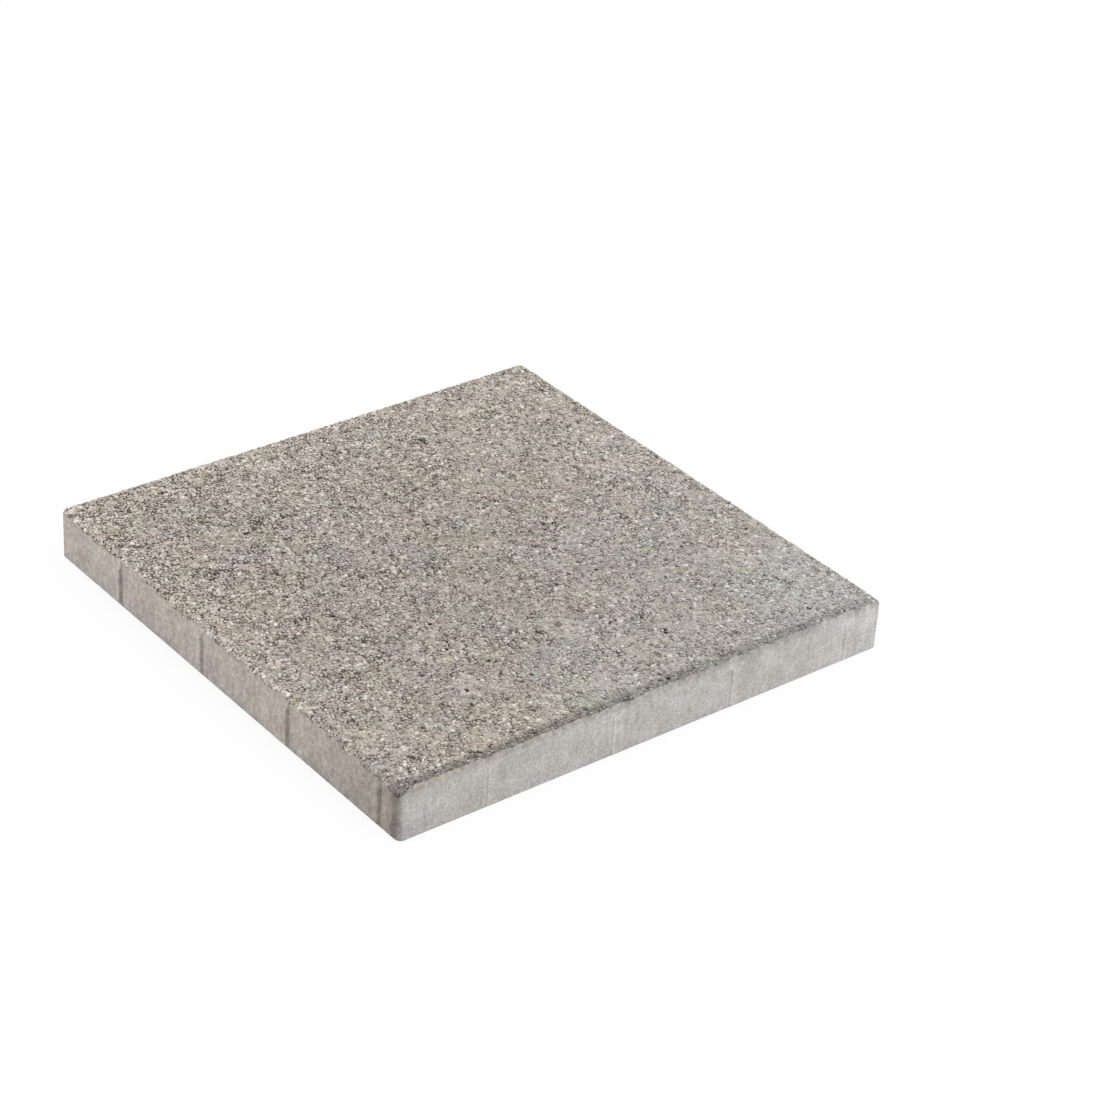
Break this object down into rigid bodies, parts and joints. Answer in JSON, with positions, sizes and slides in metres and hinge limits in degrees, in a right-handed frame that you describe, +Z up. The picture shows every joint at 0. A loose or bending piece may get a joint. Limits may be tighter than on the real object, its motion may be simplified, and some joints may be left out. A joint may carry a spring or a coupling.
{
  "type": "concrete paving slab",
  "caption": "Square concrete paving slab with a washed top of fine exposed stone, smooth moulded sides, rounded corners and small spacing nibs along its sides.",
  "frame": {"origin": "middle of the underside, on the ground the slab lies on", "axes": "+Z up through the thickness to the washed top; +X and +Y square to two neighbouring sides"},
  "size_m": [0.4, 0.4, 0.038],
  "materials": {
    "washed_concrete": "washed rough top of fine warm grey stone, smooth matt cement skin on the sides"
  },
  "bodies": {
    "root": {"slab": "washed_concrete"}
  },
  "joints": []
}
